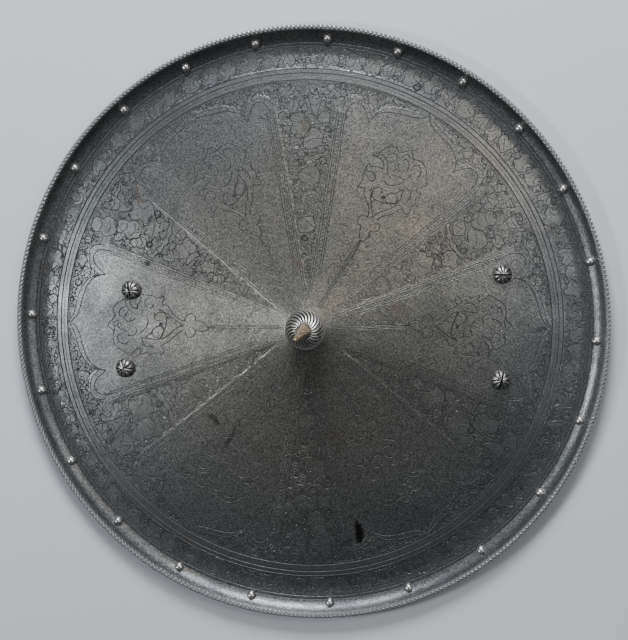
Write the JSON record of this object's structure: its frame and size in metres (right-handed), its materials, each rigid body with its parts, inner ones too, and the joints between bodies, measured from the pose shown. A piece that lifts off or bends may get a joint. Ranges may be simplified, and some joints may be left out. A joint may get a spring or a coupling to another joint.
{
  "type": "rondache shield",
  "caption": "Round steel shield, a low cone with a raised roped lip, round-headed rivets, slotted strap bolts and a faceted spike on a fluted knob.",
  "frame": {"origin": "middle of the flat ring on the shield's back that it rests on", "axes": "+Z out of the shield's face along the spike, +Y towards the shield's top, +X to the right seen from the front"},
  "size_m": [0.58, 0.58, 0.1503],
  "materials": {
    "plate_steel": "old forged steel, dark dull patina, etched",
    "spike_steel": "worn steel, browned",
    "bolt_steel": "worn steel, chiselled",
    "nut_steel": "forged steel, dark",
    "rivet_steel": "worn bright steel"
  },
  "bodies": {
    "root": {"shield_plate": "plate_steel", "spike": "spike_steel", "strap_bolt_upper_left": "bolt_steel", "strap_bolt_lower_left": "bolt_steel", "strap_bolt_upper_right": "bolt_steel", "strap_bolt_lower_right": "bolt_steel", "strap_bolt_nut_upper_left": "nut_steel", "strap_bolt_nut_lower_left": "nut_steel", "strap_bolt_nut_upper_right": "nut_steel", "strap_bolt_nut_lower_right": "nut_steel", "rivet_01": "rivet_steel", "rivet_02": "rivet_steel", "rivet_03": "rivet_steel", "rivet_04": "rivet_steel", "rivet_05": "rivet_steel", "rivet_06": "rivet_steel", "rivet_07": "rivet_steel", "rivet_08": "rivet_steel", "rivet_09": "rivet_steel", "rivet_10": "rivet_steel", "rivet_11": "rivet_steel", "rivet_12": "rivet_steel", "rivet_13": "rivet_steel", "rivet_14": "rivet_steel", "rivet_15": "rivet_steel", "rivet_16": "rivet_steel", "rivet_17": "rivet_steel", "rivet_18": "rivet_steel", "rivet_19": "rivet_steel", "rivet_20": "rivet_steel", "rivet_21": "rivet_steel", "rivet_22": "rivet_steel", "rivet_23": "rivet_steel"}
  },
  "joints": []
}
